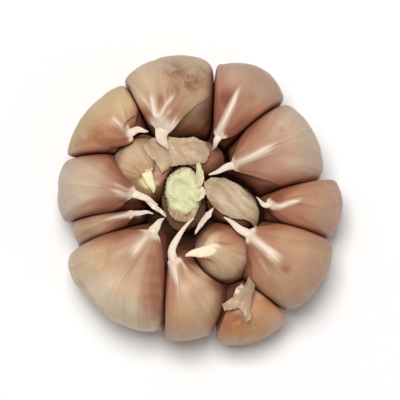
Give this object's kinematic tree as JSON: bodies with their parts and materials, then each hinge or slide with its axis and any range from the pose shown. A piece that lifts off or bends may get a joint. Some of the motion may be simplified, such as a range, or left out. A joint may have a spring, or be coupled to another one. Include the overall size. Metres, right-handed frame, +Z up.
{
  "type": "garlic bulb",
  "caption": "Garlic bulb with its outer wrappers stripped: a ring of splayed skin-covered cloves with papery tails round smaller cloves and a cut stalk, on a root plate.",
  "frame": {"origin": "the middle of the root plate's flat underside, below the point where the cloves meet", "axes": "+Z up, from the root plate to the cut stalk; +X to the right and +Y to the top of the picture, which looks down on the bulb"},
  "size_m": [0.0599, 0.061, 0.0368],
  "materials": {
    "clove_skin": "semi-satin veined papery skin",
    "inner_skin": "dry papery skin",
    "stalk": "dry fibrous",
    "root_plate": "rough corky",
    "papery_skin": "dry thin paper"
  },
  "bodies": {
    "root": {"clove_outer_01": "clove_skin", "clove_outer_02": "clove_skin", "clove_outer_03": "clove_skin", "clove_outer_04": "clove_skin", "clove_outer_05": "clove_skin", "clove_outer_06": "clove_skin", "clove_outer_07": "clove_skin", "clove_outer_08": "clove_skin", "clove_outer_09": "clove_skin", "clove_outer_10": "clove_skin", "clove_outer_11": "clove_skin", "clove_inner_01": "inner_skin", "clove_inner_02": "inner_skin", "clove_inner_03": "inner_skin", "clove_inner_04": "inner_skin", "stalk": "stalk", "root_plate": "root_plate", "skin_scrap": "papery_skin"}
  },
  "joints": []
}
